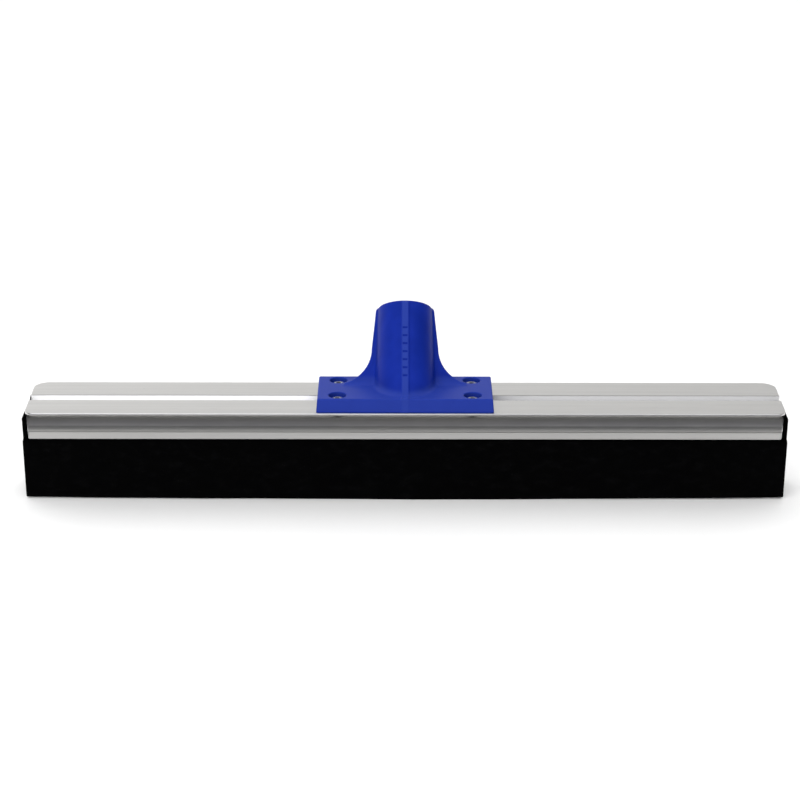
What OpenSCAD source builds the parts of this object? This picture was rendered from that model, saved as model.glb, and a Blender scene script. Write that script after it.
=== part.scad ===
// Floor squeegee head: an aluminium T extrusion grips a pair of foam rubber strips, and a moulded
// socket for a pole is riveted to its top flange. The squeegee stands on its strips at z = 0, +X runs
// along the blades and +Y points to the rear, the way the pole leans.

/* [Aluminium extrusion] */
// Length of the extrusion
rail_l = 450; // [300:1:900]
// Depth of the top flange, front to back
flange_d = 46.4; // [44:0.1:60]
// Wall thickness throughout
wall = 1.5; // [1.2:0.1:2]
// Height of the flange's top above the floor
flange_top = 60; // [55:0.5:75]
// Width of the groove between the two wings
groove_w = 7.1; // [5:0.1:8]
// Depth of the groove
groove_h = 5.6; // [5.4:0.1:6]
// Corner radius at the front of the flange
front_corner_r = 5.5; // [2:0.5:8]
// Corner radius at the rear of the flange
rear_corner_r = 9; // [4:0.5:12]

/* [Blade channel] */
// Half width at the shoulder
shoulder_y = 11.8; // [11:0.1:12.2]
// Half width at the widest point of the bulge
bulge_y = 14.2; // [13.6:0.1:15]
// Depth of the widest point below the flange's top
bulge_h = 12.2; // [11.6:0.1:13]
// Half width where the bulge turns into the flat lip
crease_y = 13.15; // [13:0.05:13.4]
// Depth of that crease below the flange's top
crease_h = 16.8; // [16:0.1:17.5]
// Half width at the bottom of the lip
lip_y = 12.8; // [12.7:0.1:13]
// Depth of the lip's bottom edge below the flange's top
lip_h = 21.6; // [20:0.1:23]

/* [Foam rubber strips] */
// Length of each strip
strip_l = 457; // [304:1:910]
// Thickness of each strip
strip_t = 12; // [8:0.5:12]
// Half width over both strips where they leave the channel
strip_top_y = 14.2; // [13.5:0.1:14.5]
// Half width over both strips at the floor
strip_foot_y = 16.5; // [14.5:0.1:18]
// Radius of the rolling seat that lets a strip flex
flex_r = 4; // [3:0.1:4.1]
// Distance of that seat's axis from the middle plane
flex_y = 6.6; // [6.5:0.1:6.7]

/* [Pole socket] */
// Angle of the socket, leaning back from the vertical
lean = 42; // [30:1:50]
// Diameter of the bore that takes the pole
bore_d = 25; // [20:0.5:26]
// Depth of the bore along its axis
bore_l = 40; // [30:1:42]
// Outside diameter at the rim
rim_d = 33; // [31:0.5:36]
// Length from the flange's top plane to the rim, along the axis
socket_l = 56.2; // [50:0.1:70]
// Draft of the tube's outside, in degrees
tube_draft = 1.9; // [0:0.1:2]
// Thickness of the two side fins
fin_t = 3.6; // [2.5:0.1:5]
// Radius of the sweep that carries each fin out to the base
fin_sweep_r = 23; // [15:1:24]
// Width of the flat strip up the front of the tube
band_w = 4.7; // [3:0.1:6]
// Height of that strip above the tube
band_h = 0.4; // [0.3:0.1:1]
// Number of shallow index marks along the strip
mark_count = 7; // [0:1:12]

/* [Socket base] */
// Width of the base plate at its foot
base_w = 105; // [96:1:130]
// Depth of the base plate, front to back
base_d = 42; // [40:0.5:44]
// Height of its front edge
base_front_h = 8.8; // [8:0.1:10]
// Fall of its top towards the rear, in degrees
base_fall = 4; // [0:0.5:5]
// Draft of its ends, in degrees
base_draft = 5; // [0:0.5:8]
// Gap between the flange's front edge and the base
base_setback = 0.8; // [0.5:0.1:2]

/* [Rivets] */
// Spacing of the rivets along the blade
rivet_dx = 80; // [76:1:86]
// Spacing of the rivets front to back
rivet_dy = 26.4; // [25:0.1:27]
// Distance of the front pair ahead of the middle plane
rivet_front_y = 14.6; // [14.5:0.1:15]
// Diameter of the head
head_d = 8.5; // [7:0.1:9]
// Height of the domed head
head_h = 1.8; // [1.2:0.1:2.2]
// Diameter of the shank
shank_d = 4.8; // [4:0.1:5]
// Diameter of the counterbore around each head
recess_d = 10.6; // [10:0.1:12]
// Plastic left under the front heads
front_floor = 4.6; // [4:0.1:5]
// Plastic left under the rear heads
rear_floor = 3; // [2.6:0.1:3.6]
// Diameter of the bulb that forms under the flange
bulb_d = 6.8; // [6:0.1:7]
// Length of that bulb
bulb_h = 2.6; // [2.3:0.1:2.7]
// Diameter of the mandrel left inside
mandrel_d = 2.7; // [2:0.1:3]

/* [Hidden] */
$fn = 96;
eps = 0.01;
air = 0.05;

// The box over all pieces runs from the flange's front edge to the back of the rim, and the origin is
// the middle of its foot, so the middle plane of the extrusion stands ahead of the origin.
rim_rear_y = socket_l * sin(lean) + rim_d / 2 * cos(lean);
mid_y = (flange_d / 2 - rim_rear_y) / 2;

neck_y = groove_w / 2 + wall;
web_h = groove_h + wall;
lip_z = flange_top - lip_h;
// The strips fill the channel with a little air, and each bends at the channel's lip.
strip_fit_y = lip_y - wall - 0.15;
strip_gap_y = 0.3;
flex_z = lip_z;
strip_top_z = flange_top - web_h - 0.4;
strip_shoulder_z = lip_z - 2.6;
strip_heel_z = lip_z - 2.2;

base_front_y = -flange_d / 2 + base_setback;
base_rear_y = base_front_y + base_d;
base_rear_h = base_front_h - base_d * tan(base_fall);
tube_foot_t = -24;
tube_foot_r = rim_d / 2 + (socket_l - tube_foot_t) * tan(tube_draft);
fin_sweep_t = socket_l - 25.5;
fin_top_x = rim_d / 2 + 1;
fin_side_x = rim_d / 2 + 3.6;

function arc(cx, cy, r, a0, a1, n) =
    [for (i = [0:n]) [cx + r * cos(a0 + (a1 - a0) * i / n), cy + r * sin(a0 + (a1 - a0) * i / n)]];
// A smooth bend through three points, as a curve whose middle is pulled towards the second one
function bend(a, b, c, n) =
    [for (i = [0:n]) let (u = i / n) (1 - u) ^ 2 * a + 2 * u * (1 - u) * b + u ^ 2 * c];
function side(points, s) = [for (p = points) [s * p[0], p[1]]];
function back(points) = [for (i = [len(points) - 1:-1:0]) points[i]];

// Outside of one half of the section, from the neck down to the lip, as [distance from the middle, height]
outer_side = concat(
    [[neck_y, -wall], [neck_y, -groove_h + 0.4]],
    bend([shoulder_y - 1.2, -groove_h + 0.1], [bulge_y - 0.1, -groove_h - 0.3], [bulge_y, -bulge_h], 12),
    bend([bulge_y, -bulge_h], [bulge_y, -bulge_h - 2.6], [crease_y, -crease_h], 8),
    [[lip_y, -lip_h]]
);
inner_side = concat(
    [[lip_y - wall, -lip_h], [crease_y - wall, -crease_h]],
    bend([bulge_y - wall, -bulge_h - 0.4], [bulge_y - wall - 0.3, -web_h - 0.2], [shoulder_y - 2, -web_h], 8)
);

module along_x(length) {
    rotate([90, 0, 90]) linear_extrude(length, center = true) children();
}

// Rounds an upright corner off: the square ahead of the arc goes
module corner_cut(x, y, sx, sy, r) {
    translate([x, y, -wall - 1]) linear_extrude(wall + 2) difference() {
        translate([sx > 0 ? -r : -1, sy > 0 ? -r : -1]) square(r + 1);
        translate([-sx * r, -sy * r]) circle(r);
    }
}

module rivet_spots() {
    for (sx = [-1, 1], row = [0, 1])
        translate([sx * rivet_dx / 2, -rivet_front_y + row * rivet_dy, 0]) children();
}

module section() {
    half_flange = [[neck_y, -wall], [flange_d / 2, -wall], [flange_d / 2, 0], [groove_w / 2, 0]];
    polygon(concat(
        [[groove_w / 2, -groove_h]], back(half_flange), outer_side, inner_side,
        back(side(inner_side, -1)), back(side(outer_side, -1)), side(half_flange, -1),
        [[-groove_w / 2, -groove_h]]
    ));
}

module frame_extrusion() {
    color("silver") translate([0, mid_y, flange_top]) difference() {
        along_x(rail_l) section();
        for (sx = [-1, 1]) {
            corner_cut(sx * rail_l / 2, -flange_d / 2, sx, -1, front_corner_r);
            corner_cut(sx * rail_l / 2, flange_d / 2, sx, 1, rear_corner_r);
        }
        rivet_spots() translate([0, 0, -wall - 1]) cylinder(d = shank_d + 2 * air, h = wall + 2);
    }
}

// The base plate is a wedge: its top falls to the rear and its ends lean in
module base_plate() {
    lean_in = base_front_h * tan(base_draft);
    intersection() {
        along_x(base_w + 2) polygon([
            [base_front_y, 0], [base_rear_y, 0], [base_rear_y - 0.3, base_rear_h],
            [base_front_y + 0.4, base_front_h],
        ]);
        rotate([90, 0, 0]) linear_extrude(2 * flange_d, center = true) polygon([
            [-base_w / 2, 0], [base_w / 2, 0],
            [base_w / 2 - lean_in, base_front_h], [-base_w / 2 + lean_in, base_front_h],
        ]);
    }
}

// The tube's outside is a slender cone, trimmed later at the flange, with its rim rounded over
module tube_outside() {
    rim_r = rim_d / 2;
    rim_round = 0.8;
    rotate_extrude() polygon(concat(
        [[0, tube_foot_t], [tube_foot_r, tube_foot_t]],
        arc(rim_r - rim_round, socket_l - rim_round, rim_round, tube_draft, 90, 6),
        [[0, socket_l]]
    ));
}

// Half of the fin's outline, as [distance from the axis, distance along it]
fin_outline = concat(
    [[0, socket_l - 0.4], [fin_top_x - 1.4, socket_l - 0.4], [fin_top_x - 0.3, socket_l - 1.1],
        [fin_top_x, socket_l - 2.4], [fin_side_x, fin_sweep_t]],
    arc(fin_side_x + fin_sweep_r, fin_sweep_t, fin_sweep_r, 180, 242, 10),
    [[fin_side_x + fin_sweep_r * 0.6, 4], [0, 4]]
);

module fins() {
    rotate([90, 0, 0]) linear_extrude(fin_t, center = true)
        for (s = [-1, 1]) polygon(side(fin_outline, s));
}

// A raised flat strip up the front of the tube, with shallow index marks across it
module front_band() {
    mark_pitch = 5.1;
    mark_depth = 0.35;
    mark_t = 1.1;
    translate([0, -rim_d / 2 - band_h, socket_l - 0.6]) rotate([tube_draft, 0, 0])
        difference() {
            translate([-band_w / 2, 0, -62]) cube([band_w, 3, 62]);
            for (i = [0:1:mark_count - 1])
                translate([-band_w / 3, -1, -17 - i * mark_pitch])
                    cube([band_w * 2 / 3, 1 + mark_depth, mark_t]);
        }
}

// The same strip carried over the base to its front edge
module base_band() {
    translate([-band_w / 2, base_front_y + 0.4, base_front_h - 1]) rotate([-base_fall, 0, 0])
        cube([band_w, 12, 1 + band_h]);
}

// Keeps what stands on the flange and behind the base's front face
module on_the_base() {
    intersection() {
        children();
        translate([-base_w, base_front_y + 0.4, 0]) cube([2 * base_w, 6 * flange_d, 3 * flange_top]);
    }
}

module handle_socket() {
    color([0.07, 0.18, 0.62]) translate([0, mid_y, flange_top]) difference() {
        union() {
            base_plate();
            on_the_base() {
                base_band();
                rotate([-lean, 0, 0]) {
                    tube_outside();
                    fins();
                    front_band();
                }
            }
        }
        rotate([-lean, 0, 0]) translate([0, 0, socket_l - bore_l]) cylinder(d = bore_d, h = bore_l + 5);
        rivet_spots() translate([0, 0, -1]) cylinder(d = shank_d + 2 * air, h = 2 + base_front_h);
        for (sx = [-1, 1]) {
            translate([sx * rivet_dx / 2, -rivet_front_y, front_floor])
                cylinder(d = recess_d, h = base_front_h);
            translate([sx * rivet_dx / 2, rivet_dy - rivet_front_y, rear_floor])
                cylinder(d = recess_d, h = base_front_h);
        }
    }
}

// A domed blind rivet: the head is a cap of a sphere, the bulb under the flange is turned round
module rivet(floor_h) {
    cap_r = (head_d ^ 2 / 4 + head_h ^ 2) / (2 * head_h);
    color("gainsboro") difference() {
        union() {
            intersection() {
                translate([0, 0, floor_h + head_h - cap_r]) sphere(cap_r);
                translate([0, 0, floor_h]) cylinder(d = head_d, h = head_h + 1);
            }
            translate([0, 0, -wall - 0.5]) cylinder(d = shank_d, h = floor_h + wall + 0.6);
            rotate_extrude() polygon([
                [0, -wall - bulb_h], [bulb_d / 2 - 1.2, -wall - bulb_h], [bulb_d / 2, -wall - bulb_h * 0.6],
                [bulb_d / 2, -wall - 0.6], [bulb_d / 2 - 0.6, -wall - eps], [0, -wall - eps],
            ]);
        }
        translate([0, 0, -wall - bulb_h - 1]) cylinder(d = mandrel_d + 2 * air, h = 30);
    }
}

// What is left of the pulled mandrel: a stem broken off just inside the head, and its upset end
module mandrel(floor_h) {
    stub_top = floor_h + head_h - 0.7;
    tail_d = 3.6;
    color("dimgray") {
        translate([0, 0, -wall - bulb_h - 0.8]) cylinder(d = mandrel_d, h = stub_top + wall + bulb_h + 0.8);
        translate([0, 0, -wall - bulb_h - 1]) cylinder(d1 = tail_d - 1, d2 = tail_d, h = 1);
    }
}

module at_rivet(sx, row) {
    translate([sx * rivet_dx / 2, mid_y - rivet_front_y + row * rivet_dy, flange_top])
        children();
}

// One strip's part that the channel grips, with the round seat that its blade flexes in
module strip_root() {
    color([0.05, 0.05, 0.06]) difference() {
        along_x(strip_l) polygon([
            [strip_gap_y / 2, lip_z], [strip_fit_y, lip_z],
            [strip_fit_y + 0.1, strip_top_z - 3], [strip_fit_y - 0.9, strip_top_z - 1.1],
            [strip_fit_y - 2.8, strip_top_z], [strip_gap_y / 2 + 4.2, strip_top_z],
            [strip_gap_y / 2 + 1.2, strip_top_z - 1.4], [strip_gap_y / 2, strip_top_z - 4.2],
        ]);
        translate([0, flex_y, flex_z]) rotate([0, 90, 0])
            cylinder(r = flex_r + air, h = strip_l + 2, center = true);
    }
}

// One strip's blade, which turns about the seat
module strip_blade() {
    color([0.05, 0.05, 0.06]) {
        translate([0, flex_y, flex_z]) rotate([0, 90, 0]) cylinder(r = flex_r, h = strip_l, center = true);
        along_x(strip_l) polygon([
            [strip_foot_y - strip_t, 0], [strip_foot_y, 0], [strip_top_y, strip_shoulder_z],
            [strip_top_y - 1.5, strip_heel_z - 0.1], [flex_y, strip_heel_z],
            [strip_top_y - strip_t, strip_heel_z],
        ]);
    }
}

module rear_side() {
    translate([0, mid_y, 0]) children();
}

module front_side() {
    translate([0, mid_y, 0]) mirror([0, 1, 0]) children();
}

frame_extrusion();
handle_socket();
at_rivet(-1, 0) rivet(front_floor);  // rivet_front_left
at_rivet(1, 0) rivet(front_floor);  // rivet_front_right
at_rivet(-1, 1) rivet(rear_floor);  // rivet_rear_left
at_rivet(1, 1) rivet(rear_floor);  // rivet_rear_right
at_rivet(-1, 0) mandrel(front_floor);  // mandrel_front_left
at_rivet(1, 0) mandrel(front_floor);  // mandrel_front_right
at_rivet(-1, 1) mandrel(rear_floor);  // mandrel_rear_left
at_rivet(1, 1) mandrel(rear_floor);  // mandrel_rear_right
front_side() strip_root();  // front_blade_root
front_side() strip_blade();  // front_blade
rear_side() strip_root();  // rear_blade_root
rear_side() strip_blade();  // rear_blade
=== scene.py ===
"""Looks of a floor squeegee head: an aluminium T extrusion, two foam rubber strips and a riveted pole socket.

Lengths in the classes below are millimetres. They are measured in the squeegee's own section: x runs
along the blades, y is counted from the extrusion's middle plane towards the rear, and z from the
flange's top, so every part is drawn where the drawing office would draw it and is then placed once.
"""
import logging
import math
from dataclasses import dataclass, field
from enum import Enum
from typing import Any, Callable, Iterable, Sequence

import bmesh
import bpy
import numpy as np
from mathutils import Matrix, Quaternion, Vector


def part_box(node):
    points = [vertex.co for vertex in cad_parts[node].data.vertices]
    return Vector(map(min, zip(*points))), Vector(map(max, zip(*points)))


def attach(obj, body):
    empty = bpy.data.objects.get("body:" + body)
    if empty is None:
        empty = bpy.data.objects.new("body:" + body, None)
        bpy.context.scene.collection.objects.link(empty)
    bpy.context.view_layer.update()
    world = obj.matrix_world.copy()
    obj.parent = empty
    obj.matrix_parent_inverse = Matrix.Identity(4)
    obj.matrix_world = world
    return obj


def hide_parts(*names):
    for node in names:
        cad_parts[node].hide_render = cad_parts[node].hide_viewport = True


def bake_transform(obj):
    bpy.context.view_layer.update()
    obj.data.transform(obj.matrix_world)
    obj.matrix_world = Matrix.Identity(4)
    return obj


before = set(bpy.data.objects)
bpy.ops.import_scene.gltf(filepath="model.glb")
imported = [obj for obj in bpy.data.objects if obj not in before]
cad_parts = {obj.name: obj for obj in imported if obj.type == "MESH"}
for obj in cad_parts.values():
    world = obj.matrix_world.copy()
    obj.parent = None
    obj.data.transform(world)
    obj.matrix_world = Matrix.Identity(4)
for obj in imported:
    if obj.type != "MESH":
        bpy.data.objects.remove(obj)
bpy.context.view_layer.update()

LOG = logging.getLogger("squeegee")
MM = 0.001
Array = np.ndarray


# ------------------------------------------------------------------ shader maths

class Sock:
    """One output socket of a node tree, on which sums and products add Math nodes."""

    def __init__(self, tree: "Tree", socket: bpy.types.NodeSocket) -> None:
        """Keeps the tree that new Math nodes go to.

        Args:
            tree: the node tree's builder.
            socket: the output that this value stands for.
        """
        self.tree = tree
        self.socket = socket

    def _math(self, operation: str, *values: Any) -> "Sock":
        """Adds one Math node with these values."""
        return self.tree.node("ShaderNodeMath", {"operation": operation}, dict(enumerate(values)))

    def __add__(self, other: Any) -> "Sock":
        """Sum."""
        return self._math("ADD", self, other)

    __radd__ = __add__

    def __sub__(self, other: Any) -> "Sock":
        """Difference."""
        return self._math("SUBTRACT", self, other)

    def __rsub__(self, other: Any) -> "Sock":
        """Difference, with this value second."""
        return self._math("SUBTRACT", other, self)

    def __mul__(self, other: Any) -> "Sock":
        """Product."""
        return self._math("MULTIPLY", self, other)

    __rmul__ = __mul__

    def larger(self, other: Any) -> "Sock":
        """The larger of this value and another."""
        return self._math("MAXIMUM", self, other)

    def nearest(self, low: float, high: float) -> "Sock":
        """The nearest whole number from low to high."""
        whole = self._math("ROUND", self)
        return self._math("MAXIMUM", self._math("MINIMUM", whole, high), low)

    def __truediv__(self, other: Any) -> "Sock":
        """Quotient."""
        return self._math("DIVIDE", self, other)

    def __pow__(self, other: Any) -> "Sock":
        """Power."""
        return self._math("POWER", self, other)

    def size(self) -> "Sock":
        """The value without its sign."""
        return self._math("ABSOLUTE", self)

    def smooth(self, low: float, high: float) -> "Sock":
        """Rises smoothly from 0 at low to 1 at high.

        Args:
            low: the value that gives 0.
            high: the value that gives 1.

        Returns:
            The eased value.
        """
        settings = {"interpolation_type": "SMOOTHSTEP"}
        values = {"Value": self, "From Min": low, "From Max": high}
        return self.tree.node("ShaderNodeMapRange", settings, values)


class Tree:
    """Builds the nodes of one material or world."""

    def __init__(self, tree: bpy.types.NodeTree) -> None:
        """Starts from an empty tree.

        Args:
            tree: the node tree to fill.
        """
        self.tree = tree
        self.tree.nodes.clear()

    def node(self, kind: str, settings: dict[str, Any], inputs: dict[Any, Any], out: Any = 0) -> Sock:
        """Adds any node: its settings first, then the values or links of its sockets.

        Args:
            kind: the node's type name.
            settings: attributes such as a Math node's operation; "stops" sets a ramp's (place, colour) pairs.
            inputs: socket name or number to a plain value or a Sock.
            out: name or number of the output that is wanted.

        Returns:
            That output.
        """
        made = self.tree.nodes.new(kind)
        for name, value in settings.items():
            if name == "stops":
                self._stops(made.color_ramp, value)
            else:
                setattr(made, name, value)
        for name, value in inputs.items():
            if isinstance(value, Sock):
                self.tree.links.new(value.socket, made.inputs[name])
            else:
                made.inputs[name].default_value = value
        return Sock(self, made.outputs[out]) if len(made.outputs) else Sock(self, None)

    @staticmethod
    def _stops(ramp: bpy.types.ColorRamp, stops: Sequence[tuple[float, Sequence[float]]]) -> None:
        """Sets a ramp's stops, from the first to the last.

        Args:
            ramp: the colour ramp.
            stops: (place, colour) pairs, in order.
        """
        while len(ramp.elements) < len(stops):
            ramp.elements.new(1.0)
        for element, (place, colour) in zip(ramp.elements, stops):
            element.position = place
            element.color = (*colour, 1.0)

    def place(self, stretch: tuple[float, float, float] = (1, 1, 1)) -> Sock:
        """Object coordinates in millimetres, with each axis divided by its stretch.

        Args:
            stretch: how far each axis is drawn out.

        Returns:
            The coordinates.
        """
        here = self.node("ShaderNodeTexCoord", {}, {}, "Object")
        scale = tuple(1 / (MM * s) for s in stretch)
        return self.node("ShaderNodeMapping", {}, {"Vector": here, "Scale": scale})

    def axis(self, name: str) -> Sock:
        """One Object coordinate in millimetres."""
        return self.node("ShaderNodeSeparateXYZ", {}, {"Vector": self.place()}, name)

    def noise(self, at: Sock, scale: float, detail: float = 2.0, rough: float = 0.5) -> Sock:
        """Noise from 0 to 1 with features about 1 / scale of the place's unit across."""
        values = {"Vector": at, "Scale": scale, "Detail": detail, "Roughness": rough}
        return self.node("ShaderNodeTexNoise", {}, values)

    def cells(self, at: Sock, scale: float) -> Sock:
        """Distance to the nearest of scattered points, as in the open cells of a foam's skin."""
        return self.node("ShaderNodeTexVoronoi", {}, {"Vector": at, "Scale": scale}, "Distance")

    def tint(self, factor: Any, low: Sequence[float], high: Sequence[float]) -> Sock:
        """A colour between low and high."""
        values = {"Factor": factor, 6: (*low, 1), 7: (*high, 1)}
        return self.node("ShaderNodeMix", {"data_type": "RGBA"}, values, 2)

    def blend(self, factor: Sock, under: Sock, over: Sequence[float]) -> Sock:
        """A varying colour with a plain one laid over it by the factor."""
        values = {"Factor": factor, 6: under, 7: (*over, 1)}
        return self.node("ShaderNodeMix", {"data_type": "RGBA"}, values, 2)

    def bump(self, height: Sock, depth_mm: float, strength: float = 1.0) -> Sock:
        """Normals of a surface whose height goes from 0 to depth_mm."""
        values = {"Height": height, "Distance": depth_mm * MM, "Strength": strength}
        return self.node("ShaderNodeBump", {}, values, "Normal")


@dataclass(frozen=True)
class Finish:
    """A surface finish, made into one material by its own nodes."""

    name: str

    def material(self) -> bpy.types.Material:
        """The finish as a Blender material, made once.

        Returns:
            The material.
        """
        found = bpy.data.materials.get(self.name)
        if found is not None:
            return found
        made = bpy.data.materials.new(self.name)
        made.use_nodes = True
        tree = Tree(made.node_tree)
        shader = tree.node("ShaderNodeBsdfPrincipled", {}, self.sockets(tree))
        tree.node("ShaderNodeOutputMaterial", {}, {"Surface": shader})
        return made

    def sockets(self, tree: Tree) -> dict[str, Any]:
        """Values and links of the shader's sockets; each finish has its own."""
        raise NotImplementedError


@dataclass(frozen=True)
class MillAluminium(Finish):
    """Extruded aluminium as it leaves the press: fine die lines along its length, never polished."""

    name: str = "mill_aluminium"
    colour: tuple[float, float, float] = (0.76, 0.752, 0.735)
    # Colour of the painted highlights in the groove, on the wings' edges and on the ends.
    highlight_colour: tuple[float, float, float] = (0.95, 0.95, 0.96)
    roughness: float = 0.32
    mid_y: float = 0.0
    top_z: float = 60.0
    groove_half: float = 3.67
    wing_half: float = 23.0
    end_at: float = 224.5
    lip_at: float = 16.85

    def sockets(self, tree: Tree) -> dict[str, Any]:
        """Long streaks for the die lines, faint clouds for handling, painted highlights in the groove, on the wings'
        edges and on the ends, and painted shade on the channel's bulge below.

        Args:
            tree: the material's nodes.

        Returns:
            The shader's input values by name.
        """
        across = (tree.axis("Y") - self.mid_y).size()
        down = self.top_z - tree.axis("Z")
        # Painted highlight: the groove's walls and floor (inner), the top of the wings' outer edges (edge) and the
        # chamfered ends (ends) are made whiter, less metallic and rougher, standing in for the light that they catch.
        inner = (1 - across.smooth(self.groove_half - 0.05, self.groove_half + 0.05)) * down.smooth(0.15, 0.35)
        edge = across.smooth(self.wing_half - 0.15, self.wing_half + 0.1) * (1 - down.smooth(0.5, 0.75)) * 0.72
        # The painted highlight is whiter on the left and dimmer on the right, as the light falls from the left.
        dimmer_highlight_colour = tuple(c * 0.72 for c in self.highlight_colour)
        painted_highlight_tone = tree.tint(tree.axis("X").smooth(-60, 60), self.highlight_colour, dimmer_highlight_colour)
        ends = tree.axis("X").size().smooth(self.end_at - 0.1, self.end_at + 0.2) * 0.8
        cut = (inner + edge).larger(ends)
        # Painted shade: bands below the wings darken the channel's bulge, less so on the lip, standing in for the
        # dark reflections there.
        shade_bands = down.smooth(4.6, 5.2) * 0.5 - down.smooth(6.8, 8) * 0.36 + down.smooth(11.6, 12.8) * 0.4
        channel_painted_shade = across.smooth(9, 10) * shade_bands * (1 - down.smooth(self.lip_at - 0.15, self.lip_at + 0.1) * 0.55)
        streaks = tree.noise(tree.place((90, 0.35, 0.35)), 1.0, 4.0, 0.65)
        broad = tree.noise(tree.place((120, 3, 3)), 1.0, 2.0)
        clouds = tree.noise(tree.place((14, 9, 9)), 1.0, 3.0)
        grain = tree.noise(tree.place((2.5, 0.3, 0.3)), 1.0, 3.0)
        dull = tuple(c * 0.88 for c in self.colour)
        shade = streaks * 0.45 + broad * 0.35 + clouds * 0.2
        rough = self.roughness + (streaks - 0.5) * 0.16 + (clouds - 0.5) * 0.1
        metal = tree.tint(shade.smooth(0.3, 0.7), dull, self.colour)
        # The painted shade blends the metal nearly to black.
        metal = tree.blend(channel_painted_shade, metal, tuple(c * 0.03 for c in self.colour))
        # The painted highlight (cut) is laid over the metal.
        layers = {"Factor": cut, 6: metal, 7: painted_highlight_tone}
        return {
            "Base Color": tree.node("ShaderNodeMix", {"data_type": "RGBA"}, layers, 2),
            "Metallic": 1 - 0.85 * cut,
            "Roughness": rough + 0.25 * cut,
            "Normal": tree.bump(streaks * 0.7 + grain * 0.3, 0.02),
        }


@dataclass(frozen=True)
class MouldedPlastic(Finish):
    """Royal blue moulded plastic with a fine even skin and a few rubbed places."""

    name: str = "moulded_blue"
    colour: tuple[float, float, float] = (0.0024, 0.0178, 0.255)
    # Colour of the painted light on the front strip and of the painted reflection on the base.
    painted_light_colour: tuple[float, float, float] = (0.0165, 0.0385, 0.280)
    roughness: float = 0.45
    mid_y: float = 0.0
    top_z: float = 60.0
    lean: float = math.radians(42)
    length: float = 56.2
    mark_pitch: float = 5.1
    mark_count: int = 7

    def sockets(self, tree: Tree) -> dict[str, Any]:
        """A fine pebbled skin, slow colour drift from the melt, faint rubs, and painted light on the front strip and
        painted reflection on the base, both paler.

        Args:
            tree: the material's nodes.

        Returns:
            The shader's input values by name.
        """
        y, z = tree.axis("Y") - self.mid_y, tree.axis("Z") - self.top_z
        along = math.sin(self.lean) * y + math.cos(self.lean) * z
        ahead = 1 - (math.cos(self.lean) * y - math.sin(self.lean) * z).smooth(-6, -4)
        x = tree.axis("X").size()
        strip = (1 - x.smooth(1.2, 2.5)) * ahead
        down = (self.length - 17.6 - along) / self.mark_pitch
        off = (down - down.nearest(0, self.mark_count - 1)).size() * self.mark_pitch
        mark = (1 - off.smooth(0.5, 0.8)) * (1 - x.smooth(1.3, 1.6)) * ahead
        low = 1 - z.smooth(9.5, 12)
        skin = tree.noise(tree.place(), 2.4, 3.0, 0.6)
        flow = tree.noise(tree.place((16, 16, 22)), 1.0, 2.0)
        rubs = tree.noise(tree.place((7, 0.6, 0.9)), 1.0, 4.0, 0.7)
        dark = tuple(c * 0.86 for c in self.colour)
        light = tuple(c * 1.08 + 0.002 for c in self.colour)
        body = tree.tint((flow * 0.8 + skin * 0.2).smooth(0.3, 0.7), dark, light)
        # Painted light on the front strip and painted reflection on the base below about 10 mm (low): both are made
        # paler.
        lit_body = tree.blend(strip + low * 0.75 * (1 - strip), body, self.painted_light_colour)
        return {
            "Base Color": tree.blend(mark, lit_body, dark),
            "Roughness": self.roughness + (skin - 0.5) * 0.1 + rubs.smooth(0.55, 0.8) * 0.08,
            "Specular IOR Level": 0.1,
            "Normal": tree.bump(skin * 0.7 + rubs * 0.3, 0.03),
        }


@dataclass(frozen=True)
class FoamRubber(Finish):
    """Black closed-cell foam rubber: matt, with tiny cut cells and faint saw marks."""

    name: str = "cellular_rubber"
    colour: tuple[float, float, float] = (0.0008, 0.0008, 0.0009)
    roughness: float = 0.78

    def sockets(self, tree: Tree) -> dict[str, Any]:
        """Cells about half a millimetre across, cut open, over a slow unevenness.

        Args:
            tree: the material's nodes.

        Returns:
            The shader's input values by name.
        """
        cells = tree.cells(tree.place(), 1.9)
        fine = tree.noise(tree.place(), 3.5, 3.0)
        saw = tree.noise(tree.place((30, 3, 0.8)), 1.0, 2.0)
        dust = tree.noise(tree.place((9, 9, 5)), 1.0, 4.0, 0.65)
        pale = tuple(c * 2.6 for c in self.colour)
        return {
            "Base Color": tree.tint(dust.smooth(0.45, 0.8), self.colour, pale),
            "Roughness": self.roughness + (fine - 0.5) * 0.15,
            "Specular IOR Level": 0.015,
            "Normal": tree.bump(cells * 0.5 + fine * 0.3 + saw * 0.2, 0.1),
        }


@dataclass(frozen=True)
class RivetHead(Finish):
    """Bright drawn aluminium of a blind rivet, lightly scuffed by the nose of the tool."""

    name: str = "rivet_bright"
    colour: tuple[float, float, float] = (0.80, 0.80, 0.81)
    roughness: float = 0.27

    def sockets(self, tree: Tree) -> dict[str, Any]:
        """Fine scuffs over small soft dents.

        Args:
            tree: the material's nodes.

        Returns:
            The shader's input values by name.
        """
        scuffs = tree.noise(tree.place((1.2, 0.25, 0.6)), 1.0, 4.0, 0.7)
        dents = tree.noise(tree.place(), 0.7, 2.0)
        dull = tuple(c * 0.75 for c in self.colour)
        return {
            "Base Color": tree.tint(scuffs.smooth(0.3, 0.6), dull, self.colour),
            "Metallic": 1.0,
            "Roughness": self.roughness + scuffs * 0.2,
            "Normal": tree.bump(scuffs * 0.4 + dents * 0.6, 0.04),
        }


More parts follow.
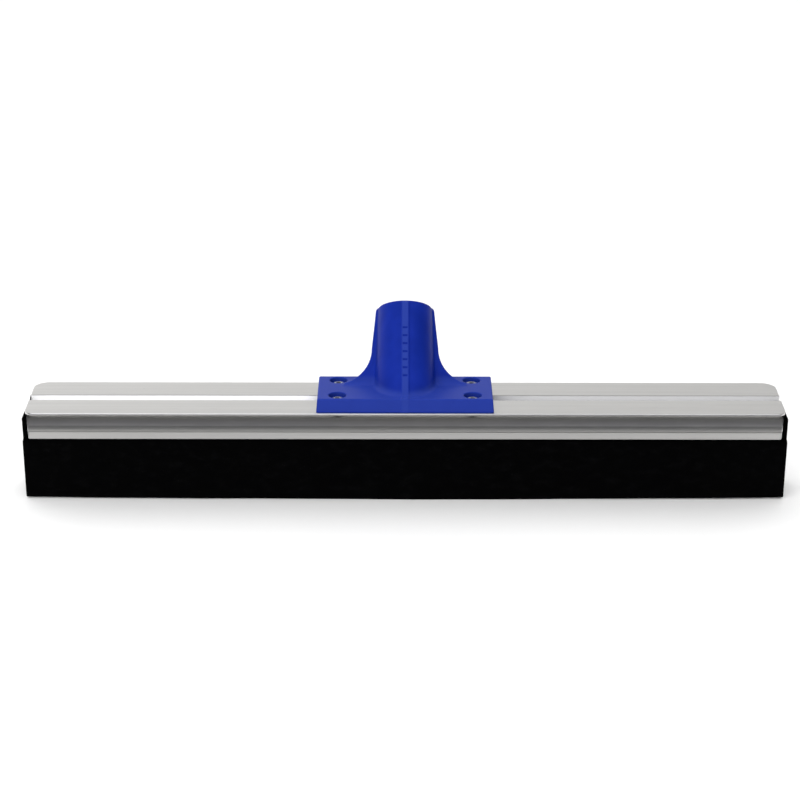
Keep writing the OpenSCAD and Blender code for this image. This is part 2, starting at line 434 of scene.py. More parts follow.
@dataclass(frozen=True)
class BrokenSteel(Finish):
    """Dark torn steel of a mandrel that was pulled until it broke."""

    name: str = "mandrel_steel"
    colour: tuple[float, float, float] = (0.10, 0.10, 0.11)
    roughness: float = 0.5

    def sockets(self, tree: Tree) -> dict[str, Any]:
        """A coarse torn grain.

        Args:
            tree: the material's nodes.

        Returns:
            The shader's input values by name.
        """
        torn = tree.noise(tree.place(), 3.0, 4.0, 0.7)
        bright = tuple(c * 2.2 for c in self.colour)
        return {
            "Base Color": tree.tint(torn.smooth(0.45, 0.75), self.colour, bright),
            "Metallic": 0.9,
            "Roughness": self.roughness + (torn - 0.5) * 0.3,
            "Normal": tree.bump(torn, 0.15),
        }


# ------------------------------------------------------------------ surfaces

def grid_faces(rows: int, columns: int, close_rows: bool, close_columns: bool) -> Array:
    """Quads over a grid of rows by columns points, joined round where a direction is closed.

    Args:
        rows: number of rows of points.
        columns: number of points in each row.
        close_rows: whether the last row joins the first.
        close_columns: whether each row's last point joins its first.

    Returns:
        One row of four point numbers for each quad.
    """
    r = np.arange(rows if close_rows else rows - 1)[:, None]
    c = np.arange(columns if close_columns else columns - 1)[None, :]
    r1, c1 = (r + 1) % rows, (c + 1) % columns
    corners = [r * columns + c, r * columns + c1, r1 * columns + c1, r1 * columns + c]
    return np.stack([np.broadcast_to(k, (r.size, c.size)) for k in corners], -1).reshape(-1, 4)


def rounded(points: Sequence[tuple[float, float, float]], steps: int = 5) -> Array:
    """A closed outline with each corner replaced by a curve that leaves both sides smoothly.

    Each corner has its own radius: the curve starts and ends that far from the corner along the two
    sides, or nearly halfway along a short side, and is the quadratic curve pulled towards the corner.

    Args:
        points: (across, up, radius) of each corner, in order round the outline.
        steps: points on each curve, less one.

    Returns:
        The outline's points, one per row.
    """
    given = np.array(points, float)
    here, radius = given[:, :2], given[:, 2]
    before, after = np.roll(here, 1, 0) - here, np.roll(here, -1, 0) - here
    reach_b, reach_a = np.linalg.norm(before, axis=1), np.linalg.norm(after, axis=1)
    cut = np.minimum(radius, 0.48 * np.minimum(reach_b, reach_a))[:, None]
    start, end = here + before / reach_b[:, None] * cut, here + after / reach_a[:, None] * cut
    u = np.linspace(0, 1, steps + 1)[None, :, None]
    curve = (1 - u) ** 2 * start[:, None] + 2 * u * (1 - u) * here[:, None] + u ** 2 * end[:, None]
    pieces = [curve[i] if radius[i] > 0 else here[i:i + 1] for i in range(len(here))]
    return np.concatenate(pieces)


def bend(
    a: Sequence[float], b: Sequence[float], c: Sequence[float], steps: int
) -> list[tuple[float, float, float]]:
    """Corners with no radius along the quadratic curve from a to c that b pulls on.

    Args:
        a: where the curve starts.
        b: the point that pulls it.
        c: where it ends.
        steps: how many corners it gets.

    Returns:
        The corners as (y, z, radius).
    """
    a, b, c = np.array(a, float), np.array(b, float), np.array(c, float)
    u = np.linspace(0, 1, steps + 1)[:, None]
    points = (1 - u) ** 2 * a + 2 * u * (1 - u) * b + u ** 2 * c
    return [(float(p[0]), float(p[1]), 0.0) for p in points]


def inset(outline: Array, depth: float) -> Array:
    """The outline moved inwards by depth: each point goes along the mean of its two sides' normals.

    Args:
        outline: the points of a closed outline.
        depth: how far to move.

    Returns:
        The moved points.
    """
    ahead, behind = np.roll(outline, -1, 0) - outline, outline - np.roll(outline, 1, 0)
    ahead /= np.linalg.norm(ahead, axis=1, keepdims=True) + 1e-12
    behind /= np.linalg.norm(behind, axis=1, keepdims=True) + 1e-12
    mean = ahead + behind
    normal = np.stack([mean[:, 1], -mean[:, 0]], 1)
    normal /= np.linalg.norm(normal, axis=1, keepdims=True) + 1e-12
    x, y = outline.T
    clockwise = np.sum(x * np.roll(y, -1) - np.roll(x, -1) * y) < 0
    return outline + normal * (depth if clockwise else -depth)


@dataclass
class Piece:
    """One finished piece: where it goes, what it is made of and what it stands for."""

    name: str
    finish: Finish
    slot: str
    nodes: tuple[str, ...]
    body: str = "head"

    def build(
        self, points: Array, quads: Array, more: Iterable[Sequence[int]] = (), crease: float = 35.0
    ) -> bpy.types.Object:
        """Makes the mesh, turns its faces outwards, dresses it and hides the solids it stands for.

        Args:
            points: the mesh's points, in metres and in their final place.
            quads: four point numbers for each face.
            more: faces with another number of corners.
            crease: the angle past which an edge is drawn sharp, in degrees.

        Returns:
            The object.
        """
        mesh = bpy.data.meshes.new(self.name)
        mesh.from_pydata(points.tolist(), [], quads.tolist() + [list(face) for face in more])
        work = bmesh.new()
        work.from_mesh(mesh)
        bmesh.ops.recalc_face_normals(work, faces=work.faces)
        work.to_mesh(mesh)
        work.free()
        mesh.set_sharp_from_angle(angle=math.radians(crease))
        mesh.materials.append(self.finish.material())
        made = bpy.data.objects.new(self.name, mesh)
        bpy.context.scene.collection.objects.link(made)
        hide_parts(*self.nodes)
        LOG.info("%s: %d points, %d faces", self.name, len(mesh.vertices), len(mesh.polygons))
        return made


@dataclass
class Datum:
    """Where the section's own zero lies in the shared frame, read from the frame itself."""

    mid_y: float
    top_z: float

    @classmethod
    def from_frame(cls) -> "Datum":
        """Middle plane and flange top, from the extrusion's box."""
        low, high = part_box("frame_extrusion")
        return cls((low.y + high.y) / 2, high.z)

    def place(self, points: Array) -> Array:
        """Section millimetres to metres in the shared frame."""
        return points * MM + np.array([0.0, self.mid_y, self.top_z])


# ------------------------------------------------------------------ extrusion

@dataclass
class Extrusion:
    """The aluminium T section: two wings, a groove between them and the channel that grips the foam."""

    datum: Datum
    length: float = 450.0
    half_depth: float = 23.2
    wall: float = 1.5
    groove: float = 3.55
    groove_floor: float = 5.6
    shoulder: float = 11.8
    bulge: tuple[float, float] = (14.2, 12.2)
    crease: tuple[float, float] = (13.15, 16.8)
    lip: tuple[float, float] = (12.8, 21.6)
    front_corner: float = 5.5
    rear_corner: float = 9.0
    end_chamfer: float = 0.55

    def half_section(self) -> list[tuple[float, float, float]]:
        """Corners of the rear half of the section, from the groove's floor round to the channel's ceiling."""
        neck, web = self.groove + self.wall, self.groove_floor + self.wall
        (by, bz), (cy, cz), (ly, lz) = self.bulge, self.crease, self.lip
        wing = [
            (self.groove, -self.groove_floor, 0.3), (self.groove, 0, 0.3), (self.half_depth, 0, 0.4),
            (self.half_depth, -self.wall, 0.4), (neck, -self.wall, 0.8), (neck, -self.groove_floor + 0.1, 0.5),
        ]
        root = (self.shoulder - 1.2, -self.groove_floor + 0.1)
        outside = bend(root, (by - 0.1, -self.groove_floor - 0.3), (by, -bz), 14)
        outside += bend((by, -bz), (by + 0.05, -bz - 2.2), (by - 0.25, -cz + 0.7), 8)[1:]
        lip = [
            (cy + 0.03, -cz, 0.3), (ly, -lz, 0.35), (ly - self.wall, -lz, 0.35), (cy - self.wall, -cz, 0.3),
        ]
        inside = bend(
            (by - self.wall, -bz - 0.4), (by - self.wall - 0.3, -web - 0.2), (self.shoulder - 2, -web), 10
        )
        return wing + outside + lip + inside

    def section(self) -> Array:
        """The closed section: the rear half, and the same corners mirrored in reverse for the front."""
        rear = self.half_section()
        front = [(-y, z, r) for y, z, r in reversed(rear)]
        return rounded(rear + front)

    def stations(self) -> Array:
        """Distances along half the length: sparse in the middle, and close where the wings' corners turn."""
        half = self.length / 2
        quarter = np.sin(np.linspace(0, np.pi / 2, 12))
        turns = [half - r + r * quarter for r in (self.front_corner, self.rear_corner)]
        straight = np.linspace(0, half - self.rear_corner, 12)
        end = half - self.end_chamfer
        near = np.unique(np.round(np.concatenate([straight, *turns, [end]]), 4))
        return near[near <= end + 1e-6]

    def wing_loss(self, x: Array, radius: float) -> Array:
        """How far a wing's edge stands back at x, where its corner is an arc of that radius."""
        past = np.clip(np.abs(x) - (self.length / 2 - radius), 0, radius)
        return radius - np.sqrt(radius ** 2 - past ** 2)

    def build(self) -> bpy.types.Object:
        """Carries the section along the length, with the wings' corners rounded and the ends chamfered.

        At each station the wings' edges stand back by the corner arcs. The last station on each end is
        the same section moved inwards by the chamfer, and a flat face closes it.
        """
        outline = self.section()
        half = self.length / 2
        near = self.stations()
        x = np.concatenate([[-half], -near[::-1], near[1:], [half]])
        rings = np.repeat(outline[None], len(x), 0)
        rings[[0, -1]] = inset(outline, self.end_chamfer)
        edge = np.abs(outline[:, 0]) > self.half_depth - 1.0
        loss_rear = self.wing_loss(x, self.rear_corner)[:, None] * (edge & (outline[:, 0] > 0))
        loss_front = self.wing_loss(x, self.front_corner)[:, None] * (edge & (outline[:, 0] < 0))
        rings[:, :, 0] += loss_front - loss_rear
        points = np.concatenate([np.broadcast_to(x[:, None, None], (*rings.shape[:2], 1)), rings], 2)
        count = len(outline)
        faces = grid_faces(len(x), count, False, True)
        caps = [range(count), range(count * (len(x) - 1), count * len(x))]
        finish = MillAluminium(mid_y=self.datum.mid_y / MM, top_z=self.datum.top_z / MM)
        piece = Piece("extrusion", finish, "aluminium", ("frame_extrusion",))
        made = piece.build(self.datum.place(points.reshape(-1, 3)), faces, caps, 28)
        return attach(made, piece.body)


# ------------------------------------------------------------------ foam strips

class Side(Enum):
    """Which of the two strips: the value is the sign of its y."""

    FRONT = -1
    REAR = 1


@dataclass
class FoamStrip:
    """One foam rubber strip: gripped in the channel above, free and splayed outwards below."""

    datum: Datum
    side: Side
    length: float = 457.0
    floor: float = 60.0
    top: float = 7.55
    grip: float = 11.25
    lip: float = 21.6
    shoulder: tuple[float, float] = (14.2, 22.4)
    foot: float = 16.5
    foot_inner: float = 4.5
    part_at: tuple[float, float] = (2.2, 25.0)
    end_round: float = 0.6
    top_round: float = 1.9
    finish: Finish = field(default_factory=FoamRubber)

    def section(self) -> Array:
        """The strip's section: round-topped in the channel, a soft shoulder under the lip, a square cut foot."""
        sy, sz = self.shoulder
        return rounded([
            (0.2, -self.top, 4.2), (self.grip, -self.top, 1.5), (self.grip, -self.lip - 0.1, 0.6),
            (sy, -sz, 1.9), (self.foot, -self.floor, 0.9), (self.foot_inner, -self.floor, 0.9),
            (self.part_at[0], -self.part_at[1], 5.0), (0.2, -self.lip + 1, 5.0),
        ], 7)

    def relax(self, x: Array, z: Array) -> tuple[Array, Array]:
        """How a strip that was cut and pressed by hand wanders, as extra y outwards and extra z.

        The foot bows in by about a millimetre and rises a little towards each end, and slow waves of a
        fraction of a millimetre run along it. Nothing moves where the channel grips the strip.

        Args:
            x: distances along the strip.
            z: heights from the flange's top, negative below it.

        Returns:
            The extra y and the extra z.
        """
        along = 2 * x / self.length
        free = np.clip((-z - self.lip) / (self.floor - self.lip), 0, 1) ** 1.3
        phase = 0.7 if self.side is Side.FRONT else 2.9
        waves = 0.16 * np.sin(9.1 * along + phase) + 0.1 * np.sin(23.0 * along + 2 * phase)
        drift = -1.3 * along ** 2 + waves
        rise = 0.9 * np.abs(along) ** 3 + 0.22 * (1 - np.cos(5.3 * (along - 0.12)))
        return drift * free, rise * free

    def build(self) -> bpy.types.Object:
        """Carries the section along the length, bowed by relax(), with softly rounded ends.

        The ends are quarter circles: as x comes within end_round of the end, the section moves inwards.
        """
        outline = self.section()
        half = self.length / 2
        turn = np.linspace(0, np.pi / 2, 6)
        ends = half - self.end_round + self.end_round * np.sin(turn)
        depth = self.end_round * (1 - np.cos(turn))
        close = np.linspace(half - 3.4, half - self.end_round, 8)[:-1]
        near = np.concatenate([np.linspace(0, half - 4, 66), close])
        reach, deep = np.concatenate([near, ends]), np.concatenate([0 * near, depth])
        x, cut = np.concatenate([-reach[::-1], reach[1:]]), np.concatenate([deep[::-1], deep[1:]])
        inner = inset(outline, 1.0) - outline
        rings = outline[None] + inner[None] * cut[:, None, None]
        drift, rise = self.relax(x[:, None], rings[:, :, 1])
        past = np.clip(np.abs(x) - (half - self.top_round), 0, self.top_round)[:, None]
        crown = -self.top - self.top_round + np.sqrt(self.top_round ** 2 - past ** 2)
        y, z = (rings[:, :, 0] + drift) * self.side.value, np.minimum(rings[:, :, 1] + rise, crown)
        points = np.stack([np.broadcast_to(x[:, None], y.shape), y, z], -1)
        count = len(outline)
        faces = grid_faces(len(x), count, False, True)
        caps = [range(count), range(count * (len(x) - 1), count * len(x))]
        word = self.side.name.lower()
        nodes = (f"{word}_blade_root", f"{word}_blade")
        piece = Piece(f"{word}_foam_strip", self.finish, "foam_rubber", nodes)
        made = piece.build(self.datum.place(points.reshape(-1, 3)), faces, caps, 50)
        y_bend = self.datum.mid_y + self.side.value * 6.6 * MM
        start, end = self.datum.top_z - (self.lip - 1.0) * MM, self.datum.top_z - (self.lip + 8.0) * MM
        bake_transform(made)
        return made


# ------------------------------------------------------------------ socket

def soft_min(a: Array, b: Array, reach: float) -> Array:
    """The smaller of two distances, blended over reach so that the two surfaces meet in a fillet."""
    mix = np.maximum(reach - np.abs(a - b), 0) / reach
    return np.minimum(a, b) - mix * mix * reach / 4


def soft_max(a: Array, b: Array, reach: float) -> Array:
    """The larger of two distances, blended over reach so that the edge between them is rounded."""
    return -soft_min(-a, -b, reach)


def net_surface(distance: Callable[[Array], Array], low: Array, high: Array, step: float) -> tuple[Array, Array]:
    """The surface where a distance function is zero, as a mesh of quads.

    The distance is sampled on a grid. Each cell that the surface passes through gets one point, at the
    mean of the places where its twelve edges cross the surface, and each grid edge that crosses gets
    one quad between its four cells. The points are then moved along the distance's slope until they lie
    on the surface.

    Args:
        distance: gives the distance of each row of an (n, 3) array, negative inside.
        low: lowest corner of the grid.
        high: highest corner of the grid.
        step: spacing of the grid.

    Returns:
        The points and the quads.
    """
    axes = [np.arange(a, b + step, step) for a, b in zip(low, high)]
    size = [len(a) for a in axes]
    slabs = [
        distance(np.stack(np.meshgrid([x], axes[1], axes[2], indexing="ij"), -1).reshape(-1, 3)) for x in axes[0]
    ]
    value = np.array(slabs).reshape(size)
    inside = value < 0
    total, count = np.zeros((*[s - 1 for s in size], 3)), np.zeros([s - 1 for s in size])
    corners = np.array([(i, j, k) for i in (0, 1) for j in (0, 1) for k in (0, 1)])

    def corner(c: Array, field_: Array) -> Array:
        """The grid as seen from one corner of every cell."""
        return field_[tuple(slice(o, s - 1 + o) for o, s in zip(c, size))]

    for a in corners:
        for axis in range(3):
            if a[axis]:
                continue
            b = a.copy()
            b[axis] = 1
            va, vb = corner(a, value), corner(b, value)
            cross = corner(a, inside) != corner(b, inside)
            share = np.where(cross, va / np.where(cross, va - vb, 1), 0)
            for n in range(3):
                total[..., n] += np.where(cross, a[n] + (share if n == axis else 0), 0)
            count += cross
    used = count > 0
    index = np.full(used.shape, -1)
    index[used] = np.arange(used.sum())
    cell = np.argwhere(used)
    points = (cell + total[used] / count[used][:, None]) * step + np.array([a[0] for a in axes])
    quads = []
    for axis in range(3):
        one, two = [n for n in range(3) if n != axis]
        away = np.zeros(3, int)
        away[axis] = 1
        first = inside[tuple(slice(0, s - o) for s, o in zip(size, away))]
        second = inside[tuple(slice(o, s) for s, o in zip(size, away))]
        at = np.argwhere(first != second)
        at = at[(at[:, one] > 0) & (at[:, two] > 0) & (at[:, one] < size[one] - 1) & (at[:, two] < size[two] - 1)]
        ring = []
        for back_one, back_two in ((1, 1), (0, 1), (0, 0), (1, 0)):
            c = at.copy()
            c[:, one] -= back_one
            c[:, two] -= back_two
            ring.append(index[tuple(c.T)])
        quads.append(np.stack(ring, 1))
    for _ in range(6):
        here, nudge = distance(points), 0.02
        slope = np.stack([
            (distance(points + nudge * np.eye(3)[n]) - distance(points - nudge * np.eye(3)[n])) / (2 * nudge)
            for n in range(3)
        ], 1)
        length = np.maximum(np.sum(slope * slope, 1), 0.25)
        points -= slope * np.clip(here / length, -step / 3, step / 3)[:, None]
    return points, np.concatenate(quads)


@dataclass
class PoleSocket:
    """The blue moulding: a wedge-shaped base plate, a leaning tube, two side fins and a front strip."""

    datum: Datum
    lean: float = math.radians(42)
    length: float = 56.2
    rim: float = 16.5
    draft: float = math.tan(math.radians(1.9))
    bore: float = 12.5
    bore_depth: float = 40.0
    fin: float = 1.8
    sweep: float = 23.0
    base_half: float = 52.5
    base_front: float = -22.4
    base_depth: float = 42.0
    base_height: float = 8.8
    base_fall: float = math.tan(math.radians(4))
    base_draft: float = math.radians(5)
    strip: float = 2.35
    strip_proud: float = 0.4
    mark_count: int = 7
    rivet_x: float = 40.0
    rivet_rows: tuple[tuple[float, float], ...] = ((-14.6, 4.6), (11.8, 3.0))
    recess: float = 5.3
    step: float = 0.56

    def tube_frame(self, p: Array) -> tuple[Array, Array, Array]:
        """Across the tube, behind its axis, and along its axis."""
        s, c = math.sin(self.lean), math.cos(self.lean)
        return p[:, 0], p[:, 1] * c - p[:, 2] * s, p[:, 1] * s + p[:, 2] * c

    def base(self, p: Array) -> Array:
        """The wedge: the greatest of the distances to its five leaning planes, with soft edges.

        Args:
            p: points in millimetres, one per row.

        Returns:
            The distance at each point, negative inside.
        """
        x, y, z = p.T
        ends = (np.abs(x) - self.base_half) * math.cos(self.base_draft) + z * math.sin(self.base_draft)
        front = self.base_front + 0.045 * z - y - 0.15 * (np.abs(x) < self.strip)
        rear = y - (self.base_front + self.base_depth) + 0.05 * z
        top = z - self.base_height + (y - self.base_front) * self.base_fall
        walls = soft_max(soft_max(front, rear, 0.7), ends, 0.9)
        return soft_max(walls, top, 0.9)

    def front_plane(self, p: Array) -> Array:
        """Distance ahead of the base's front face."""
        return self.base_front + 0.045 * p[:, 2] - p[:, 1]

    def tube(self, x: Array, y: Array, t: Array) -> Array:
        """A slender cone round the axis, cut square at the rim with a rounded edge."""
        wall = np.hypot(x, y) - self.rim - (self.length - t) * self.draft
        return soft_max(wall, t - self.length, 0.5)

    def fins(self, x: Array, y: Array, t: Array) -> Array:
        """A flat slab through the axis. Its outline widens slowly, then sweeps out along an arc to the base.

        Args:
            x: distance across the socket.
            y: distance behind the axis.
            t: distance along the axis.

        Returns:
            The distance at each point, negative inside.
        """
        sweep_t = self.length - 25.5
        side = self.rim + 3.6
        across = np.abs(x)
        upper = across - side + (t - sweep_t) * (2.6 / 25.5)
        lower = self.sweep - np.hypot(across - side - self.sweep, t - sweep_t)
        outline = np.where(t > sweep_t, upper, np.where(across < side + self.sweep, lower, self.sweep))
        outline = np.maximum(outline, across - 36)
        slab = np.abs(y) - self.fin - np.clip(self.length - t, 0, 60) * 0.006
        return soft_max(soft_max(outline, slab, 0.8), t - self.length + 0.3, 1.6)

    def marks(self, x: Array, t: Array) -> Array:
        """1 inside a shallow index mark on the front strip, 0 outside, with soft borders.

        Args:
            x: distance across the socket.
            t: distance along the axis.

        Returns:
            The share of a mark at each point.
        """
        down = (self.length - 17.6 - t) / 5.1
        nearest = np.clip(np.round(down), 0, self.mark_count - 1)
        gap = np.abs(down - nearest) * 5.1 - 0.6
        width = np.abs(x) - self.strip * 0.66
        return np.clip(0.5 - np.maximum(gap, width) / 0.35, 0, 1)

    def front_strip(self, p: Array, x: Array, y: Array, t: Array) -> Array:
        """The raised strip: up the tube's front, and over the base to its front edge.

        Args:
            p: points in millimetres, one per row.
            x: distance across the socket.
            y: distance behind the axis.
            t: distance along the axis.

        Returns:
            The distance at each point, negative inside.
        """
        flat = self.rim + (self.length - t) * self.draft + self.strip_proud - 0.38 * self.marks(x, t)
        on_tube = np.maximum(-y - flat, y)
        on_tube = soft_max(on_tube, t - self.length + 0.9, 0.5)
        top = p[:, 2] - self.base_height - self.strip_proud + (p[:, 1] - self.base_front) * self.base_fall
        on_base = soft_max(np.maximum(top, p[:, 1] - 0), self.front_plane(p), 0.6)
        return soft_max(np.minimum(on_tube, on_base), np.abs(x) - self.strip, 0.5)

    def distance(self, p: Array) -> Array:
        """Distance to the whole moulding: the solids joined with fillets, less the bore and the counterbores.

        Args:
            p: points, one per row, in section millimetres.

        Returns:
            The distance of each point, negative inside.
        """
        x, y, t = self.tube_frame(p)
        upright = soft_min(self.tube(x, y, t), self.fins(x, y, t), 2.0)
        body = soft_min(upright, self.base(p), 2.2)
        body = soft_min(body, self.front_strip(p, x, y, t), 0.5)
        body = soft_max(body, self.front_plane(p) - 0.15 * (np.abs(x) < self.strip), 0.7)
        hole = np.maximum(np.hypot(x, y) - self.bore, self.length - self.bore_depth - t)
        body = soft_max(body, -hole, 1.0)
        for row_y, floor in self.rivet_rows:
            radial = np.hypot(np.abs(p[:, 0]) - self.rivet_x, p[:, 1] - row_y)
            body = soft_max(body, -soft_max(radial - self.recess, floor - p[:, 2], 0.4), 0.5)
        return soft_max(body, -p[:, 2], 0.3)

    def build(self) -> bpy.types.Object:
        """Meshes the surface where distance() is zero."""
        low, high = np.array([-54.0, -24.5, -1.2]), np.array([54.0, 52.0, 54.5])
        points, quads = net_surface(self.distance, low, high, self.step)
        finish = MouldedPlastic(mid_y=self.datum.mid_y / MM, top_z=self.datum.top_z / MM)
        piece = Piece("pole_socket", finish, "blue_plastic", ("handle_socket",))
        made = piece.build(self.datum.place(points), quads, (), 60)
        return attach(made, piece.body)


# ------------------------------------------------------------------ rivets

def lathe(profile: Array, around: int, closed: bool) -> tuple[Array, Array]:
    """Turns a profile of (radius, height) about the upright axis.

    Args:
        profile: the profile's points.
        around: how many copies stand round the axis.
        closed: whether the last point joins the first, as in a ring with a hole through it.

    Returns:
        The points and the quads.
    """
    angle = np.linspace(0, 2 * np.pi, around, endpoint=False)[:, None]
    radius, height = profile[None, :, 0], profile[None, :, 1]
    points = np.stack([radius * np.cos(angle), radius * np.sin(angle), height + 0 * angle], -1)
    return points.reshape(-1, 3), grid_faces(around, len(profile), True, closed)


@dataclass
class Rivets:
    """Four domed blind rivets, each with the end of its mandrel still inside."""

    datum: Datum
    spread: float = 40.0
    rows: tuple[tuple[str, float, float], ...] = (("front", -14.6, 4.6), ("rear", 11.8, 3.0))
    head: float = 4.25
    head_height: float = 1.8
    shank: float = 2.4
    bulb: float = 3.4
    bulb_length: float = 2.6
    plate: float = 1.5
    mandrel: float = 1.35
    around: int = 48
    bright: Finish = field(default_factory=RivetHead)
    torn: Finish = field(default_factory=BrokenSteel)

    def rivet_profile(self, floor: float) -> Array:
        """The head is a dome over a thin rim, and the bulb under the flange swells where the mandrel pulled it.

        Args:
            floor: height of the counterbore's floor.

        Returns:
            The profile as (radius, height) rows.
        """
        bore, foot = self.mandrel + 0.06, -self.plate - self.bulb_length
        share = np.linspace(0.16, 0.93, 12)
        radius = bore + 0.2 + (self.head - bore - 0.2) * share
        rise = self.head_height - 0.35
        dome = [(float(r), float(floor + 0.35 + rise * math.sqrt(1 - (r / self.head) ** 2)), 0.0) for r in radius]
        corners = [
            (bore, floor + self.head_height - 0.55, 0.15), (bore + 0.22, floor + self.head_height - 0.1, 0.12), *dome,
            (self.head, floor + 0.42, 0.12), (self.head, floor, 0.1), (self.shank, floor, 0.1),
            (self.shank, -self.plate, 0.1), (self.bulb - 0.5, -self.plate, 0.4), (self.bulb, -self.plate - 1.0, 0.7),
            (self.bulb - 0.9, foot, 0.8), (bore, foot, 0.2),
        ]
        return rounded(corners, 3)

    def mandrel_profile(self, floor: float) -> Array:
        """The stem, broken off in a shallow crater just inside the head, and its swollen end below.

        Args:
            floor: height of the counterbore's floor.

        Returns:
            The profile as (radius, height) rows.
        """
        top, foot = floor + self.head_height - 0.55, -self.plate - self.bulb_length - 0.95
        return np.array([
            (0.02, top - 0.3), (0.5, top - 0.22), (0.95, top - 0.02), (1.2, top), (self.mandrel, top - 0.15),
            (self.mandrel, foot + 1.1), (1.7, foot + 0.95), (1.8, foot + 0.5), (1.4, foot + 0.12), (0.02, foot),
        ])

    def build(self) -> list[bpy.types.Object]:
        """Makes each rivet and each mandrel in its own place."""
        made = []
        for row, y, floor in self.rows:
            for word, sign in (("left", -1), ("right", 1)):
                spot = np.array([sign * self.spread, y, 0.0])
                points, quads = lathe(self.rivet_profile(floor), self.around, True)
                name = f"rivet_{row}_{word}"
                piece = Piece(f"{name}_turned", self.bright, "rivet_head", (name,))
                made.append(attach(piece.build(self.datum.place(points + spot), quads, (), 40), piece.body))
                profile = self.mandrel_profile(floor)
                points, quads = lathe(profile, self.around // 2, False)
                rings = np.arange(self.around // 2) * len(profile)
                caps = [rings.tolist(), (rings + len(profile) - 1).tolist()]
                name = f"mandrel_{row}_{word}"
                piece = Piece(f"{name}_turned", self.torn, "mandrel", (name,))
                made.append(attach(piece.build(self.datum.place(points + spot), quads, caps, 40), piece.body))
        return made


# ------------------------------------------------------------------ studio

@dataclass(frozen=True)
class Softbox:
    """A rectangular studio light: where it stands, where it points and how strong it is."""

    name: str
    place: tuple[float, float, float]
    aim: tuple[float, float, float]
    size: tuple[float, float]
    watts: float
    colour: tuple[float, float, float] = (1.0, 1.0, 1.0)
    mirrored: bool = False

    def build(self) -> None:
        """Adds the light to the scene; unless it is mirrored, bright surfaces do not show it."""
        light = bpy.data.lights.new(self.name, "AREA")
        light.shape = "RECTANGLE"
        light.size, light.size_y = self.size
        light.energy = self.watts
        light.color = self.colour
        made = bpy.data.objects.new(self.name, light)
        made.location = self.place
        made.visible_glossy = self.mirrored
        direction = Vector(self.aim) - Vector(self.place)
        made.rotation_euler = direction.to_track_quat("-Z", "Y").to_euler()
        bpy.context.scene.collection.objects.link(made)


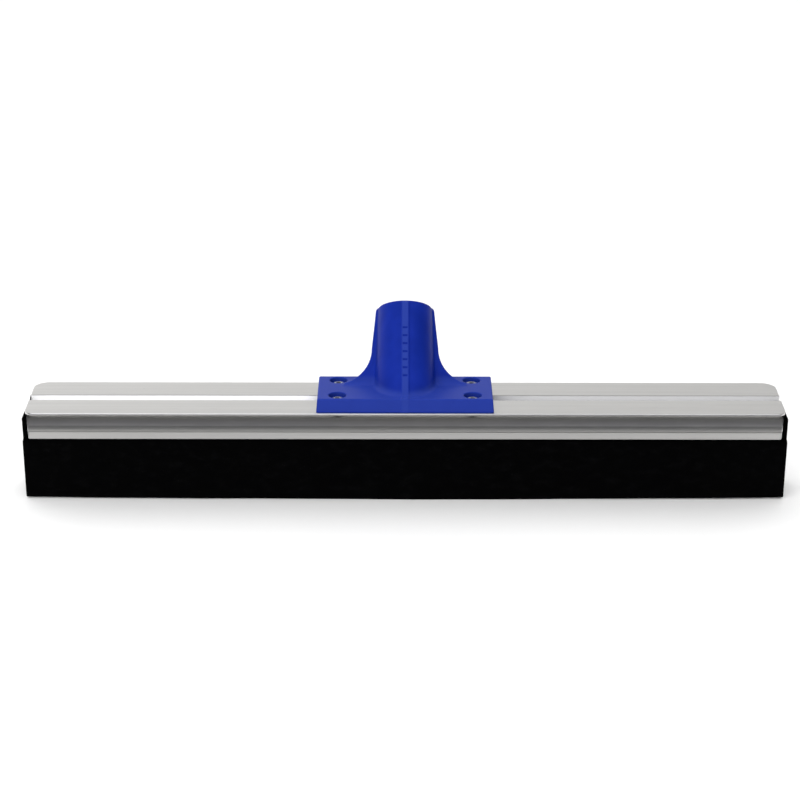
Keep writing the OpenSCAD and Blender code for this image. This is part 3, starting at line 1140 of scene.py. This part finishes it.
@dataclass
class Studio:
    """Pale floor, soft light and the camera."""

    datum: Datum
    elevation: float = math.radians(24)
    lens: float = 94.46
    distance: float = 1.236
    roll: float = math.radians(0.075)
    flange_half: float = 0.0232
    floor_colour: tuple[float, float, float] = (0.93, 0.93, 0.93)
    boxes: tuple[Softbox, ...] = (
        Softbox("top", (0.0, 0.2, 2.4), (0, 0.2, 0), (5.0, 5.0), 96.0),
        Softbox("front", (-0.5, -2.2, 1.2), (0, 0, 0.0), (3.0, 1.6), 34.0),
        Softbox("left", (-1.4, -1.2, 0.9), (0, 0, 0.05), (0.8, 0.8), 7.0),
    )

    def camera(self) -> bpy.types.Object:
        """A camera that looks 24 degrees down on the flange's front edge, from straight ahead."""
        s, c = math.sin(self.elevation), math.cos(self.elevation)
        look, up = Vector((0, c, -s)), Vector((0, s, c))
        edge = Vector((0, self.datum.mid_y - self.flange_half, self.datum.top_z))
        data = bpy.data.cameras.new("camera")
        data.lens = self.lens
        data.sensor_width = 36
        data.clip_start, data.clip_end = 0.05, 60
        made = bpy.data.objects.new("camera", data)
        made.location = edge - self.distance * look + 0.00813 * up - Vector((0.003, 0, 0))
        made.rotation_euler = (look.to_track_quat("-Z", "Y") @ Quaternion((0, 0, 1), self.roll)).to_euler()
        bpy.context.scene.collection.objects.link(made)
        bpy.context.scene.camera = made
        return made

    def floor(self) -> bpy.types.Object:
        """A wide pale sheet that everything stands on, with a faint paper tooth."""
        half = 8.0
        mesh = bpy.data.meshes.new("floor")
        corners = [(-half, -half, 0), (half, -half, 0), (half, half, 0), (-half, half, 0)]
        mesh.from_pydata(corners, [], [(0, 1, 2, 3)])
        material = bpy.data.materials.new("floor_paper")
        material.use_nodes = True
        tree = Tree(material.node_tree)
        tooth = tree.noise(tree.place((4, 4, 4)), 1.0, 3.0)
        pale = tree.tint(tooth, tuple(c * 0.985 for c in self.floor_colour), self.floor_colour)
        values = {"Base Color": pale, "Roughness": 0.9, "Specular IOR Level": 0.1}
        shader = tree.node("ShaderNodeBsdfPrincipled", {}, values)
        tree.node("ShaderNodeOutputMaterial", {}, {"Surface": shader})
        mesh.materials.append(material)
        made = bpy.data.objects.new("floor", mesh)
        bpy.context.scene.collection.objects.link(made)
        return made

    def card(self) -> None:
        """A dark sheet on the floor ahead of the squeegee, seen only by mirrors, so the front is not washed out."""
        near, far, wide = self.datum.mid_y - 0.08, -4.0, 4.0
        mesh = bpy.data.meshes.new("card")
        lift = 0.001
        corners = [(-wide, far, lift), (wide, far, lift), (wide, near, lift), (-wide, near, lift)]
        mesh.from_pydata(corners, [], [(0, 1, 2, 3)])
        material = bpy.data.materials.new("card_dark")
        material.use_nodes = True
        tree = Tree(material.node_tree)
        shade = tree.node("ShaderNodeEmission", {}, {"Color": (0.17, 0.17, 0.185, 1), "Strength": 1.0})
        tree.node("ShaderNodeOutputMaterial", {}, {"Surface": shade})
        mesh.materials.append(material)
        made = bpy.data.objects.new("card", mesh)
        bpy.context.scene.collection.objects.link(made)
        made.visible_camera = made.visible_diffuse = made.visible_shadow = False

    def world(self) -> None:
        """Soft white light, bright behind the squeegee and dim in front, where a camera and its stand would be."""
        world = bpy.data.worlds.new("studio")
        bpy.context.scene.world = world
        world.use_nodes = True
        tree = Tree(world.node_tree)
        ray = tree.node("ShaderNodeTexCoord", {}, {}, "Generated")
        values = {0: ray, 1: (-0.12, 1.0, 0.1)}
        behind = tree.node("ShaderNodeVectorMath", {"operation": "DOT_PRODUCT"}, values, "Value")
        side = tree.node("ShaderNodeSeparateXYZ", {}, {"Vector": ray}, "X")
        light = 0.15 + 0.66 * behind.smooth(-0.1, 0.8) * (1 - 0.75 * side)
        colour = tree.tint(light, (0.0, 0.0, 0.0), (1.0, 1.0, 1.0))
        shade = tree.node("ShaderNodeBackground", {}, {"Color": colour, "Strength": 1.0})
        tree.node("ShaderNodeOutputWorld", {}, {"Surface": shade})

    def build(self) -> None:
        """Sets the whole studio up."""
        self.camera()
        self.floor()
        self.card()
        self.world()
        for box in self.boxes:
            box.build()
        bpy.context.scene.view_settings.view_transform = "Standard"


def main() -> None:
    """Builds the squeegee and its studio, in order."""
    logging.basicConfig(level=logging.INFO, format="%(name)s: %(message)s")
    datum = Datum.from_frame()
    Studio(datum).build()
    Extrusion(datum).build()
    for side in Side:
        FoamStrip(datum, side).build()
    PoleSocket(datum).build()
    Rivets(datum).build()


if __name__ == "__main__":
    main()
